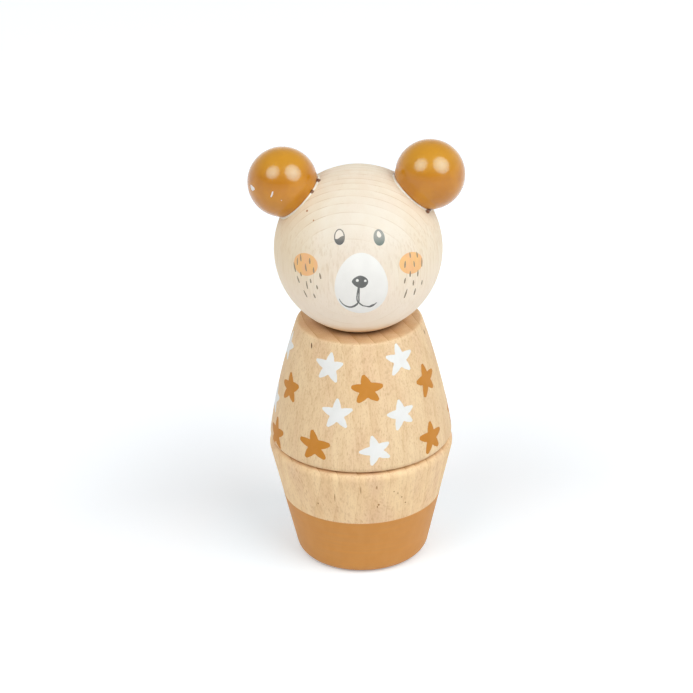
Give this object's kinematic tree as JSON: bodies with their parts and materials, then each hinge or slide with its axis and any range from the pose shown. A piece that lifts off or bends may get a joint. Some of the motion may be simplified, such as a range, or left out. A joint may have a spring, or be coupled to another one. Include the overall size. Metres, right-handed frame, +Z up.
{
  "type": "wooden screw toy",
  "caption": "Stacking bear of turned beech: a tapered base, a tapered torso and a ball head with ball ears, held together by coarse wooden screws in threaded sockets.",
  "frame": {"origin": "centre of the base's flat underside, on the turning axis that all the pieces share", "axes": "+Z up along the turning axis, -Y towards the side that the face looks to, +X to the viewer's right when facing it"},
  "size_m": [0.0637, 0.0558, 0.1333],
  "materials": {
    "beech": "bare turned beech, fine sanded",
    "pale_beech": "beech with a thin white wash",
    "screw_wood": "bare turned hardwood",
    "ochre_lacquer": "beech ball under glossy ochre lacquer",
    "ochre_paint": "matte ochre paint on beech, also the ochre stars",
    "white_paint": "matte white print on beech",
    "grey_paint": "dark grey print on beech",
    "orange_paint": "thin orange print on beech"
  },
  "bodies": {
    "base": {"base": "beech"},
    "torso_pin": {"torso_core_dowel": "screw_wood"},
    "torso": {"torso": "beech", "torso_screw": "screw_wood"},
    "head_pin": {"head_core_dowel": "screw_wood"},
    "head": {"head": "pale_beech", "head_screw": "screw_wood", "ear_left": "ochre_lacquer", "ear_right": "ochre_lacquer", "ear_dowel_left": "screw_wood", "ear_dowel_right": "screw_wood"}
  },
  "joints": [
    {"name": "torso_lift", "type": "slide", "parent": "base", "child": "torso_pin", "axis": [0, 0, 1], "range_m": [0, 0.0201]},
    {"name": "torso_turn", "type": "hinge", "parent": "torso_pin", "child": "torso", "pos_m": [0, 0, 0.0385], "axis": [0, 0, 1], "range_deg": [0, 1440]},
    {"name": "head_lift", "type": "slide", "parent": "torso", "child": "head_pin", "axis": [0, 0, 1], "range_m": [0, 0.0201]},
    {"name": "head_turn", "type": "hinge", "parent": "head_pin", "child": "head", "pos_m": [0, 0, 0.0774], "axis": [0, 0, 1], "range_deg": [0, 1440]}
  ],
  "couplings": [
    {"joint": "torso_lift", "follows": "torso_turn", "m_per_rad": 0.00079577},
    {"joint": "head_lift", "follows": "head_turn", "m_per_rad": 0.00079577}
  ]
}
